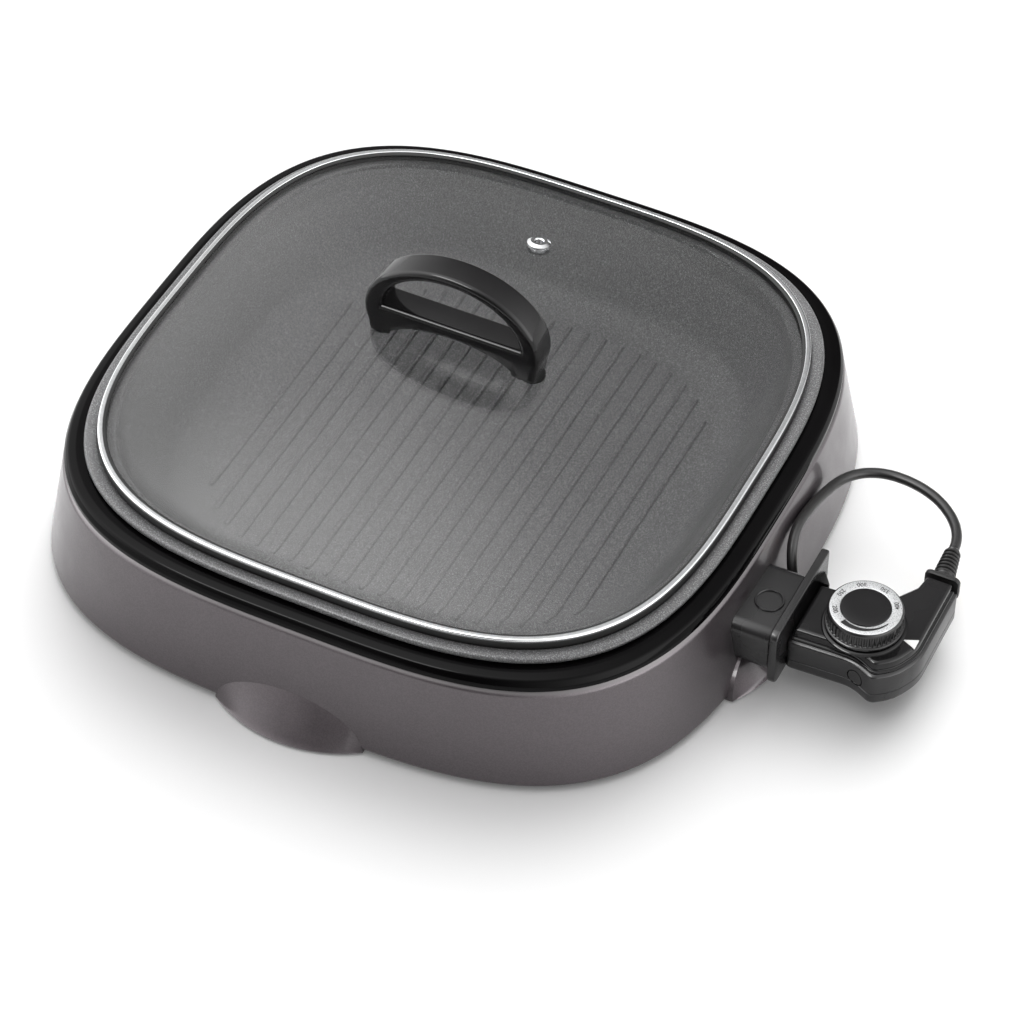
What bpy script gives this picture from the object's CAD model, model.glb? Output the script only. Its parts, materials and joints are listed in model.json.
"""Countertop electric skillet: visible shells, finishes, cord, light and camera."""
import json
import logging
import math
from dataclasses import dataclass, field
from enum import Enum, StrEnum
from typing import Any, Callable, Iterable, Sequence

import bmesh
import bpy
import numpy as np
from mathutils import Matrix, Vector


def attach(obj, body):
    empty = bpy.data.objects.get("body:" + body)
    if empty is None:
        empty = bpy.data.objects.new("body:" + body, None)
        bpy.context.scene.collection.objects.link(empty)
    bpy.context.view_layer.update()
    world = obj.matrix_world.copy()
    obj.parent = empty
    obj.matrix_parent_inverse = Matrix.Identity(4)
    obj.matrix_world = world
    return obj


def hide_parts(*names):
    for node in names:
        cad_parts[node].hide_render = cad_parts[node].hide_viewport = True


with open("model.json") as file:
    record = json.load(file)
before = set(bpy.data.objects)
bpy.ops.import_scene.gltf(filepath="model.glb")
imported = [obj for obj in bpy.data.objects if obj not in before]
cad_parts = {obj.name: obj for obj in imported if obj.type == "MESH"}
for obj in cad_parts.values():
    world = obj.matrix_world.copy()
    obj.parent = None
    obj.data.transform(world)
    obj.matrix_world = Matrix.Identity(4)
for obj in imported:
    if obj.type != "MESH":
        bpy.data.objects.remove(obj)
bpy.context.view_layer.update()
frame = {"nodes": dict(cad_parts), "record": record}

LOG = logging.getLogger("skillet")
MM = 0.001
ROUND = 320  # points round a rounded-square outline
SQUARE = 3.3  # its power: 2 is an ellipse, larger is squarer
FLATTER = 3.15  # mm by which its half depth along Y falls short of its half width along X
FULL_HALF = 140.0  # half width in mm below which that shortfall shrinks in step
NOISE = "ShaderNodeTexNoise"
WHITE = "ffffff"

Point2 = tuple[float, float]
Point3 = tuple[float, float, float]
Colour = tuple[float, float, float, float]
Loop = np.ndarray


class Body(Enum):
    """The CAD bodies that the pieces ride on."""

    BASE = "base"
    PAN = "pan"
    LID = "lid"
    CONTROL = "control"
    DIAL = "dial"


class Slot(StrEnum):
    """The record's material slots."""

    TAUPE_SHELL = "taupe_shell"
    BLACK_COLLAR = "black_collar"
    BLACK_PLASTIC = "black_plastic"
    GLOSS_BLACK = "gloss_black"
    BLACK_RUBBER = "black_rubber"
    ZINC_SCREW = "zinc_screw"
    BRIGHT_SHEET = "bright_sheet"
    CAST_ALUMINIUM = "cast_aluminium"
    DARK_SHEATH = "dark_sheath"
    PIN_NICKEL = "pin_nickel"
    WHITE_CERAMIC = "white_ceramic"
    SPECKLED_NONSTICK = "speckled_nonstick"
    LID_GLASS = "lid_glass"
    POLISHED_STEEL = "polished_steel"
    BRASS_CONTACT = "brass_contact"
    INNER_STEEL = "inner_steel"
    WHITE_PRINT = "white_print"
    SILVER_PRINT = "silver_print"
    CORD_VINYL = "cord_vinyl"


# ---- finishes --------------------------------------------------------------------------


def linear(code: str) -> Colour:
    """Turns an sRGB hex colour to linear light.

    Args:
        code: six hex digits, such as "6b6768".

    Returns:
        Red, green, blue and a full alpha.
    """
    parts = [int(code[i:i + 2], 16) / 255 for i in (0, 2, 4)]
    light = [c / 12.92 if c <= 0.04045 else ((c + 0.055) / 1.055) ** 2.4 for c in parts]
    return (light[0], light[1], light[2], 1.0)


def shaded(code: str, by: float) -> Colour:
    """An sRGB hex colour in linear light, made lighter or darker by a factor."""
    r, g, b, _ = linear(code)
    return (r * by, g * by, b * by, 1.0)


def grit(size_mm: float) -> float:
    """The scale of a noise or cell pattern whose grains are size_mm across."""
    return 1000.0 / size_mm


def add(tree: bpy.types.NodeTree, kind: str, settings: dict[Any, Any] | None = None,
        links: dict[Any, Any] | None = None) -> bpy.types.Node:
    """Adds one shader node.

    Args:
        tree: the node tree that takes it.
        kind: Blender's name of the node.
        settings: a key that starts with "." sets an attribute, "stops" lists the places and
            colours of a colour ramp, and any other key sets an input's value.
        links: input name or number, to the output that feeds it.

    Returns:
        The new node.
    """
    node = tree.nodes.new(kind)
    for key, value in (settings or {}).items():
        if key == "stops":
            band = node.color_ramp.elements
            while len(band) < len(value):
                band.new(0.5)
            for element, (place, colour) in zip(band, value):
                element.position, element.color = place, colour
        elif isinstance(key, str) and key.startswith("."):
            setattr(node, key[1:], value)
        else:
            node.inputs[key].default_value = value
    for key, source in (links or {}).items():
        tree.links.new(source, node.inputs[key])
    return node


@dataclass(frozen=True)
class Finish:
    """A finish: what the material is, how its surface was made, and its plain values.

    Attributes:
        slot: the record's slot that it dresses.
        hue: its sRGB hex colour.
        roughness: its middle roughness.
        metallic: 1 for bare metal, less where lacquer or oxide lies over it.
        grain_mm: size of the fine grain in its relief.
        bump_mm: height of that relief.
        rough_spread: how far the roughness wanders each way.
        tone_spread: how far the colour wanders each way, as a share.
        relief: how strongly the relief shows.
        cloud_mm: size of the slow clouds in its colour and wear.
        sockets: further plain values of the shader.
    """

    slot: Slot
    hue: str
    roughness: float
    metallic: float = 0.0
    grain_mm: float = 0.6
    bump_mm: float = 0.01
    rough_spread: float = 0.06
    tone_spread: float = 0.10
    relief: float = 0.5
    cloud_mm: float = 28.0
    sockets: dict[str, Any] = field(default_factory=dict)

    def build(self) -> bpy.types.Material:
        """Makes the material: its patterns drive the colour, the roughness and the relief.

        Returns:
            The new material.
        """
        material = bpy.data.materials.new(f"{self.slot}_finish")
        material.use_nodes = True
        tree = material.node_tree
        tree.nodes.clear()
        place = add(tree, "ShaderNodeTexCoord").outputs["Object"]
        colour, wear, height = self.patterns(tree, place)
        smooth, rough = self.roughness - self.rough_spread, self.roughness + self.rough_spread
        span = add(tree, "ShaderNodeMapRange",
                   {"From Min": 0.3, "From Max": 0.7, "To Min": max(smooth, 0.02),
                    "To Max": rough}, {"Value": wear})
        bump = add(tree, "ShaderNodeBump",
                   {"Strength": self.relief, "Distance": self.bump_mm * MM}, {"Height": height})
        shader = add(tree, "ShaderNodeBsdfPrincipled",
                     {"Base Color": linear(self.hue), "Metallic": self.metallic,
                      "Roughness": self.roughness, **self.sockets},
                     {"Base Color": colour, "Roughness": span.outputs["Result"],
                      "Normal": bump.outputs["Normal"]})
        add(tree, "ShaderNodeOutputMaterial", links={0: shader.outputs[0]})
        return material

    def tinted(self, tree: bpy.types.NodeTree, source: Any) -> Any:
        """The finish's colour, made lighter and darker by a grey pattern.

        Args:
            tree: the material's node tree.
            source: the pattern's output.

        Returns:
            The colour's output.
        """
        stops = [(0.3, shaded(self.hue, 1 - self.tone_spread)),
                 (0.7, shaded(self.hue, 1 + self.tone_spread))]
        return add(tree, "ShaderNodeValToRGB", {"stops": stops}, {"Fac": source}).outputs["Color"]

    def patterns(self, tree: bpy.types.NodeTree, place: Any) -> tuple[Any, Any, Any]:
        """Lays out the patterns: here slow clouds in colour and wear, fine grain in relief.

        Args:
            tree: the material's node tree.
            place: the output that tells each point's place, in metres.

        Returns:
            The outputs that drive the colour, the wear and the relief.
        """
        fine = add(tree, NOISE, {"Scale": grit(self.grain_mm), "Detail": 3.0}, {"Vector": place})
        cloud = add(tree, NOISE, {"Scale": grit(self.cloud_mm), "Detail": 2.0},
                    {"Vector": place}).outputs["Fac"]
        return self.tinted(tree, cloud), cloud, fine.outputs["Fac"]


class MouldedPhenolic(Finish):
    """Phenolic pressed in a steel mould: its gloss or its grain is the mould's own skin."""


class MouldedRubber(Finish):
    """Nitrile rubber cured in a mould: dull and slightly dusty."""


class CastAluminium(Finish):
    """Aluminium as it leaves a sand-skinned die: pale grey, sandy to the touch."""


class OxidisedSheath(Finish):
    """Nickel-alloy tube darkened by its own heat: brown-black and satin."""


class GlazedCeramic(Finish):
    """Steatite fired under a clear glaze: warm white with a wet gloss."""


class PrintedInk(Finish):
    """Ink laid on by a soft pad: flat, with pinholes."""


@dataclass(frozen=True)
class MetallicCoat(Finish):
    """Metallic lacquer sprayed on moulded phenolic: fine flakes that glint in a satin coat.

    Attributes:
        flake_mm: size of one flake.
        peel_mm: size of the spray's orange peel.
        edge: sRGB hex colour of the coat over the shoulder, where it catches more light.
        edge_from_mm: height at which the coat starts to pale.
        edge_wide_mm: height over which it does so.
    """

    relief: float = 0.3
    cloud_mm: float = 22.0
    flake_mm: float = 0.45
    peel_mm: float = 3.0
    edge: str = "625f60"
    edge_from_mm: float = 52.6
    edge_wide_mm: float = 0.9

    def patterns(self, tree: bpy.types.NodeTree, place: Any) -> tuple[Any, Any, Any]:
        """Flake cells in the colour, which pales over the shoulder; orange peel in the relief.

        Args:
            tree: the material's node tree.
            place: the output that tells each point's place, in metres.

        Returns:
            The outputs that drive the colour, the wear and the relief.
        """
        cells = add(tree, "ShaderNodeTexVoronoi", {"Scale": grit(self.flake_mm)},
                    {"Vector": place}).outputs["Color"]
        grey = add(tree, "ShaderNodeSeparateColor", links={0: cells}).outputs[0]
        level = add(tree, "ShaderNodeSeparateXYZ", links={0: place}).outputs["Z"]
        start = self.edge_from_mm * MM
        pale = add(tree, "ShaderNodeMapRange",
                   {"From Min": start, "From Max": start + self.edge_wide_mm * MM},
                   {"Value": level}).outputs["Result"]
        coat = add(tree, "ShaderNodeMix", {".data_type": "RGBA", 7: linear(self.edge)},
                   {0: pale, 6: self.tinted(tree, grey)}).outputs[2]
        wear = add(tree, NOISE, {"Scale": grit(self.cloud_mm), "Detail": 2.0}, {"Vector": place})
        peel = add(tree, NOISE, {"Scale": grit(self.peel_mm), "Detail": 1.0}, {"Vector": place})
        return coat, wear.outputs["Fac"], peel.outputs["Fac"]


@dataclass(frozen=True)
class SpeckledNonstick(Finish):
    """Sprayed non-stick coat on cast aluminium: pale specks in a grey ground, soft sheen.

    Attributes:
        speck: sRGB hex colour of the specks.
        speck_mm: their size, drawn a little coarse so that they show.
        shade: how dark the ground is between them, as a share.
    """

    relief: float = 0.6
    cloud_mm: float = 18.0
    speck: str = "989899"
    speck_mm: float = 0.6
    shade: float = 0.72

    def patterns(self, tree: bpy.types.NodeTree, place: Any) -> tuple[Any, Any, Any]:
        """Specks where a fine noise peaks, which stand up a little, and slow wear.

        Args:
            tree: the material's node tree.
            place: the output that tells each point's place, in metres.

        Returns:
            The outputs that drive the colour, the wear and the relief.
        """
        fine = add(tree, NOISE, {"Scale": grit(self.speck_mm), "Detail": 4.0},
                   {"Vector": place}).outputs["Fac"]
        stops = [(0.36, shaded(self.hue, self.shade)), (0.52, linear(self.hue)),
                 (0.66, linear(self.speck))]
        colour = add(tree, "ShaderNodeValToRGB", {"stops": stops}, {"Fac": fine})
        wear = add(tree, NOISE, {"Scale": grit(self.cloud_mm), "Detail": 2.0}, {"Vector": place})
        return colour.outputs["Color"], wear.outputs["Fac"], fine


@dataclass(frozen=True)
class TemperedGlass(Finish):
    """Pressed and tempered soda-lime glass: clear, with a faint grey cast and a fire-polished skin.

    Attributes:
        smudge_mm: size of the faint smudges on it.
    """

    relief: float = 0.2
    cloud_mm: float = 60.0
    smudge_mm: float = 14.0

    def patterns(self, tree: bpy.types.NodeTree, place: Any) -> tuple[Any, Any, Any]:
        """A very slow ripple, as pressed glass has, and faint smudges.

        Args:
            tree: the material's node tree.
            place: the output that tells each point's place, in metres.

        Returns:
            The outputs that drive the colour, the wear and the relief.
        """
        ripple = add(tree, NOISE, {"Scale": grit(self.cloud_mm), "Detail": 1.0},
                     {"Vector": place}).outputs["Fac"]
        smudge = add(tree, NOISE, {"Scale": grit(self.smudge_mm), "Detail": 4.0},
                     {"Vector": place})
        return self.tinted(tree, ripple), smudge.outputs["Fac"], ripple


@dataclass(frozen=True)
class DrawnMetal(Finish):
    """Metal rolled, turned or stamped, then polished: hair lines along one way, bright edges.

    Attributes:
        stretch: how much finer the lines are along each axis.
    """

    relief: float = 0.3
    stretch: Point3 = (1.0, 1.0, 14.0)

    def patterns(self, tree: bpy.types.NodeTree, place: Any) -> tuple[Any, Any, Any]:
        """Noise stretched to hair lines drives colour, wear and relief alike.

        Args:
            tree: the material's node tree.
            place: the output that tells each point's place, in metres.

        Returns:
            The outputs that drive the colour, the wear and the relief.
        """
        along = add(tree, "ShaderNodeMapping", {"Scale": self.stretch}, {"Vector": place})
        lines = add(tree, NOISE, {"Scale": grit(self.grain_mm), "Detail": 2.0},
                    {"Vector": along.outputs["Vector"]}).outputs["Fac"]
        return self.tinted(tree, lines), lines, lines


@dataclass(frozen=True)
class ExtrudedVinyl(DrawnMetal):
    """Soft vinyl drawn through a die, as metal is, but mottled alike every way: semi-gloss."""

    stretch: Point3 = (1.0, 1.0, 1.0)


class FinishKit:
    """Every finish of the skillet, by the record's slot."""

    def __init__(self) -> None:
        """Lists the finishes; each is built once, when first asked for."""
        self.made: dict[Slot, bpy.types.Material] = {}
        self.kinds: dict[Slot, Finish] = {f.slot: f for f in (
            # metallic lacquer on the moulded skirt: satin, with a warm grey glint
            MetallicCoat(Slot.TAUPE_SHELL, "575154", 0.42, 0.85, bump_mm=0.012, tone_spread=0.08,
                         sockets={"Coat Weight": 0.7, "Coat Roughness": 0.12}),
            # polished black moulding: mirror gloss
            MouldedPhenolic(Slot.BLACK_COLLAR, "080708", 0.08, 0.0, 4.0, 0.003, 0.02, 0.2,
                            sockets={"Specular IOR Level": 0.08}),
            # spark-eroded mould surface: fine matt grain
            MouldedPhenolic(Slot.BLACK_PLASTIC, "201f20", 0.24, 0.0, 0.5, 0.012,
                            tone_spread=0.2),
            # polished phenolic moulding: deep gloss with a faint swirl
            MouldedPhenolic(Slot.GLOSS_BLACK, "1a191a", 0.10, 0.0, 5.0, 0.004, 0.03, 0.2,
                            sockets={"Specular IOR Level": 0.32}),
            # moulded nitrile rubber: dull, slightly dusty
            MouldedRubber(Slot.BLACK_RUBBER, "121212", 0.6, 0.0, 0.8, 0.03, tone_spread=0.3),
            # zinc plate on turned steel: pale bluish, softly bright
            DrawnMetal(Slot.ZINC_SCREW, "b9bcc0", 0.28, 1.0, 0.8, 0.01),
            # rolled aluminised sheet: bright with long rolling lines
            DrawnMetal(Slot.BRIGHT_SHEET, "c3c4c6", 0.30, 1.0, 1.2, 0.01,
                       stretch=(12.0, 1.0, 1.0)),
            # as-cast aluminium: pale grey with a sandy skin
            CastAluminium(Slot.CAST_ALUMINIUM, "a2a3a6", 0.55, 0.9, 1.4, 0.12, tone_spread=0.06),
            # nickel-alloy sheath darkened by heat: brown-black, satin
            OxidisedSheath(Slot.DARK_SHEATH, "3d3a38", 0.45, 0.8, 1.6, 0.03, tone_spread=0.3),
            # nickel plate on turned brass: warm silver, bright
            DrawnMetal(Slot.PIN_NICKEL, "cbc5b6", 0.16, 1.0, 0.6, 0.006),
            # glazed steatite: warm white, wet gloss
            GlazedCeramic(Slot.WHITE_CERAMIC, "e6e1d6", 0.18, 0.0, 2.4, 0.02, tone_spread=0.04),
            # sprayed non-stick: grey ground with pale specks
            SpeckledNonstick(Slot.SPECKLED_NONSTICK, "636364", 0.34, bump_mm=0.02),
            # pressed, tempered glass: clear and nearly colourless
            TemperedGlass(Slot.LID_GLASS, "dadada", 0.03, bump_mm=0.05, rough_spread=0.015,
                          tone_spread=0.02, sockets={"Transmission Weight": 1.0, "IOR": 1.5}),
            # roll-formed stainless steel, buffed: near mirror
            DrawnMetal(Slot.POLISHED_STEEL, "d8d9da", 0.13, 1.0, 1.6, 0.004, 0.04, 0.04),
            # stamped brass strip: yellow, lightly rubbed
            DrawnMetal(Slot.BRASS_CONTACT, "c6a662", 0.26, 1.0, 0.8, 0.01),
            # plain stamped steel: mid grey, oily satin
            DrawnMetal(Slot.INNER_STEEL, "8e8f92", 0.34, 1.0, 1.0, 0.01),
            # pad-printed white ink: flat white with pinholes
            PrintedInk(Slot.WHITE_PRINT, "ececea", 0.45, 0.0, 0.35, 0.01, tone_spread=0.05),
            # spun aluminium ring under clear lacquer: silver with turning lines
            DrawnMetal(Slot.SILVER_PRINT, "d4d5d6", 0.30, 0.75, 0.5, 0.004, tone_spread=0.06),
            # extruded vinyl: semi-gloss black, faintly mottled
            ExtrudedVinyl(Slot.CORD_VINYL, "232222", 0.34, 0.0, 0.9, 0.02, tone_spread=0.2))}

    def get(self, slot: Slot) -> bpy.types.Material:
        """The material of a slot, built when it is first wanted.

        Args:
            slot: the record's slot.

        Returns:
            Its material.
        """
        if slot not in self.made:
            self.made[slot] = self.kinds[slot].build()
        return self.made[slot]

    def dress_kept(self, hidden: Iterable[str]) -> None:
        """Gives every CAD node its own slot's material.

        Args:
            hidden: the nodes that other pieces stand for.
        """
        slots = {row["node"]: row["material_slot"] for row in frame["record"]["subparts"]}
        for name, obj in frame["nodes"].items():
            for place in obj.material_slots:
                place.material = self.get(Slot(slots[name]))
            if name not in hidden:
                LOG.info("%-20s kept, %s", name, slots[name])


# ---- mesh making -------------------------------------------------------------------------


def outline(half: float, power: float = SQUARE) -> Loop:
    """Points of a rounded square, evenly spaced in angle, in mm.

    Args:
        half: half width along X.
        power: 2 is an ellipse, larger is squarer.

    Returns:
        An array of rows of X and Y.
    """
    deep = half - FLATTER * min(half / FULL_HALF, 1.0)
    t = np.linspace(0, 2 * np.pi, ROUND, endpoint=False)
    c, s = np.cos(t), np.sin(t)
    r = (np.abs(c / half) ** power + np.abs(s / deep) ** power) ** (-1 / power)
    return np.stack([r * c, r * s], 1)


def at_height(flat: Loop, z: float) -> np.ndarray:
    """A flat outline as a ring of 3-D points at a height."""
    return np.column_stack([flat, np.full(len(flat), z)])


def eased(points: Sequence[Point2], radii: float | Sequence[float], steps: int = 6,
          closed: bool = True) -> list[Point2]:
    """Rounds the corners of a polyline.

    Args:
        points: its corners.
        radii: one radius, or one for each corner.
        steps: facets in each rounded corner.
        closed: whether the last corner joins the first.

    Returns:
        The rounded polyline's points.
    """
    pts = [np.array(p, float) for p in points]
    count = len(pts)
    wanted = [radii] * count if isinstance(radii, (int, float)) else list(radii)
    out: list[Point2] = []
    for i, here in enumerate(pts):
        if wanted[i] <= 0 or (not closed and i in (0, count - 1)):
            out.append((float(here[0]), float(here[1])))
            continue
        back, ahead = pts[i - 1] - here, pts[(i + 1) % count] - here
        lb, la = float(np.linalg.norm(back)), float(np.linalg.norm(ahead))
        back, ahead = back / lb, ahead / la
        half = math.acos(max(-1.0, min(1.0, float(back @ ahead)))) / 2
        if half > math.pi / 2 - 0.02:
            out.append((float(here[0]), float(here[1])))
            continue
        reach = min(wanted[i] / math.tan(half), 0.48 * lb, 0.48 * la)
        radius = reach * math.tan(half)
        middle = here + (back + ahead) / np.linalg.norm(back + ahead) * radius / math.sin(half)
        first, last = here + back * reach - middle, here + ahead * reach - middle
        a0 = math.atan2(first[1], first[0])
        turn = math.atan2(last[1], last[0]) - a0
        turn = (turn + math.pi) % (2 * math.pi) - math.pi
        for j in range(steps + 1):
            a = a0 + turn * j / steps
            out.append((float(middle[0] + radius * math.cos(a)),
                        float(middle[1] + radius * math.sin(a))))
    return out


def inset(loop: Loop, by: float) -> Loop:
    """Moves a counter-clockwise outline inward, along the bisector of each corner.

    Args:
        loop: the outline, in mm.
        by: how far each side moves.

    Returns:
        The smaller outline.
    """
    ahead = np.roll(loop, -1, 0) - loop
    ahead /= np.linalg.norm(ahead, axis=1)[:, None]
    back = np.roll(ahead, 1, 0)
    normal = np.stack([-(ahead + back)[:, 1], (ahead + back)[:, 0]], 1)
    return loop + normal * (2 * by / np.maximum((normal ** 2).sum(1), 0.6))[:, None]


def rounded_box(wide: float, high: float, radius: float, steps: int = 10) -> Loop:
    """A rounded rectangle about the origin, counter-clockwise."""
    x, y = wide / 2, high / 2
    return np.array(eased([(-x, -y), (x, -y), (x, y), (-x, y)], radius, steps))


def turn_about(axis: str, degrees: float) -> Matrix:
    """A turn about X, Y or Z."""
    return Matrix.Rotation(math.radians(degrees), 4, axis)


ALONG_X = Matrix(((0, 0, 1, 0), (1, 0, 0, 0), (0, 1, 0, 0), (0, 0, 0, 1)))
ALONG_Y = turn_about("X", -90)


@dataclass
class Shape:
    """Points in mm and faces, added up piece by piece."""

    points: list[Sequence[float]] = field(default_factory=list)
    faces: list[Sequence[int]] = field(default_factory=list)

    def stack(self, rings: Sequence[np.ndarray], closed: bool = False) -> "Shape":
        """Joins rings of equal length by quads.

        Args:
            rings: arrays of 3-D points; each is a closed ring.
            closed: whether the last ring joins the first; if not, both ends are filled.

        Returns:
            The shape itself.
        """
        start, count = len(self.points), len(rings[0])
        for ring in rings:
            self.points.extend(ring.tolist())
        for j in range(len(rings) if closed else len(rings) - 1):
            a = start + j * count
            b = start + ((j + 1) % len(rings)) * count
            self.faces.extend((a + i, a + (i + 1) % count, b + (i + 1) % count, b + i)
                              for i in range(count))
        if not closed:
            self.faces.append([start + i for i in range(count - 1, -1, -1)])
            last = start + (len(rings) - 1) * count
            self.faces.append([last + i for i in range(count)])
        return self

    def swept(self, profile: Sequence[Point2], closed: bool = True) -> "Shape":
        """Sweeps a profile of half width and height round the rounded square.

        Args:
            profile: half width and height pairs.
            closed: whether the profile is a closed ring section.

        Returns:
            The shape itself.
        """
        return self.stack([at_height(outline(half), z) for half, z in profile], closed)

    def turned(self, profile: Sequence[Point2], place: Matrix, closed: bool = False,
               count: int = 96, wave: Callable[[np.ndarray, int], np.ndarray] | None = None
               ) -> "Shape":
        """Turns a profile of radius and height on a lathe.

        Args:
            profile: radius and height pairs.
            place: where the lathe's axis stands, in mm.
            closed: whether the profile is a closed ring section.
            count: facets round the axis.
            wave: how far a ring's radii are cut in, from the angles and the ring's number.

        Returns:
            The shape itself.
        """
        t = np.linspace(0, 2 * np.pi, count, endpoint=False)
        turn, shift = np.array(place.to_3x3()), np.array(place.translation)
        rings = []
        for k, (radius, z) in enumerate(profile):
            r = np.full(count, radius) if wave is None else radius - wave(t, k)
            rings.append(at_height(np.column_stack([r * np.cos(t), r * np.sin(t)]), z)
                         @ turn.T + shift)
        return self.stack(rings, closed)

    def lofted(self, flat: Loop, levels: Sequence[Point2], place: Matrix = Matrix.Identity(4)
               ) -> "Shape":
        """Stacks copies of a flat outline, each inset and raised by a level.

        Args:
            flat: the outline, counter-clockwise.
            levels: inset and height pairs.
            place: where the stack stands.

        Returns:
            The shape itself.
        """
        turn, shift = np.array(place.to_3x3()), np.array(place.translation)
        return self.stack([at_height(inset(flat, by) if by else flat, z) @ turn.T + shift
                           for by, z in levels])

    def mesh(self, name: str) -> bpy.types.Mesh:
        """Turns the shape to a mesh in metres with its faces turned outward.

        Args:
            name: the mesh's name.

        Returns:
            The new mesh.
        """
        made = bpy.data.meshes.new(name)
        made.from_pydata([[c * MM for c in p] for p in self.points], [], self.faces)
        made.validate()
        return outward(made)


def outward(made: bpy.types.Mesh, weld: float = 0.0) -> bpy.types.Mesh:
    """Turns every face of a closed mesh outward.

    Args:
        made: the mesh.
        weld: points closer than this, in metres, become one; 0 keeps them all.

    Returns:
        The same mesh.
    """
    work = bmesh.new()
    work.from_mesh(made)
    if weld:
        bmesh.ops.remove_doubles(work, verts=work.verts, dist=weld)
    bmesh.ops.recalc_face_normals(work, faces=work.faces)
    work.to_mesh(made)
    work.free()
    return made


def joined(name: str, meshes: Sequence[bpy.types.Mesh]) -> bpy.types.Mesh:
    """Puts several meshes in one.

    Args:
        name: the new mesh's name.
        meshes: the meshes.

    Returns:
        The new mesh.
    """
    work = bmesh.new()
    for part in meshes:
        work.from_mesh(part)
    whole = bpy.data.meshes.new(name)
    work.to_mesh(whole)
    work.free()
    return whole


def placed(name: str, data: bpy.types.ID) -> bpy.types.Object:
    """Puts a new object in the scene.

    Args:
        name: its name.
        data: the mesh, curve, camera or light that it shows.

    Returns:
        The object.
    """
    obj = bpy.data.objects.new(name, data)
    bpy.context.scene.collection.objects.link(obj)
    return obj


def settled(obj: bpy.types.Object) -> bpy.types.Mesh:
    """Takes the mesh that an object's curve, text or modifiers make, and drops the object.

    Args:
        obj: the object.

    Returns:
        Its mesh.
    """
    graph = bpy.context.evaluated_depsgraph_get()
    graph.update()
    made = bpy.data.meshes.new_from_object(obj.evaluated_get(graph))
    bpy.data.objects.remove(obj)
    return made


def cut(made: bpy.types.Mesh, cutter: bpy.types.Mesh) -> bpy.types.Mesh:
    """Cuts one closed mesh with another.

    Args:
        made: the mesh to cut.
        cutter: the mesh that is taken away from it.

    Returns:
        The cut mesh.
    """
    work, tool = placed("cut_work", made), placed("cut_tool", cutter)
    step = work.modifiers.new("cut", "BOOLEAN")
    step.operation, step.object, step.solver = "DIFFERENCE", tool, "EXACT"
    result = settled(work)
    bpy.data.objects.remove(tool)
    return result


@dataclass
class Workshop:
    """Puts meshes in the scene: material, body, stands for which nodes, smoothness."""

    finishes: FinishKit
    hidden: set[str] = field(default_factory=set)
    count: int = 0

    def piece(self, name: str, made: Shape | bpy.types.ID, slot: Slot, body: Body,
              stands_for: Sequence[str] = (), crease: float = 32.0) -> bpy.types.Object:
        """Adds a piece to the scene.

        Args:
            name: the piece's name.
            made: a Shape, a mesh or a curve.
            slot: the record's material slot.
            body: the body it rides on.
            stands_for: CAD nodes that it replaces.
            crease: edges sharper than this many degrees stay crisp.

        Returns:
            The new object.
        """
        data = made.mesh(name) if isinstance(made, Shape) else made
        obj = placed(name, data)
        data.materials.clear()
        data.materials.append(self.finishes.get(slot))
        if isinstance(data, bpy.types.Mesh):
            data.polygons.foreach_set("use_smooth", [True] * len(data.polygons))
            data.set_sharp_from_angle(angle=math.radians(crease))
        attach(obj, body.value)
        if stands_for:
            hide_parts(*stands_for)
            self.hidden.update(stands_for)
        self.count += 1
        LOG.info("%-20s %s, rides on %s", name, slot, body.value)
        return obj


# ---- camera and light -----------------------------------------------------------------------


@dataclass(frozen=True)
class SoftLight:
    """A broad light far away, with no edge.

    Attributes:
        aim: the way it comes from.
        focus: how narrow it is; 1 fills half the room.
        shine: its strength in reflections.
        fill: its strength on matt surfaces.
    """

    aim: Point3
    focus: float
    shine: float
    fill: float


@dataclass(frozen=True)
class StripLight:
    """A long lamp that shows in reflections alone, as a line along polished edges."""

    name: str
    place: Point3
    size: Point2
    power: float


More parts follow.
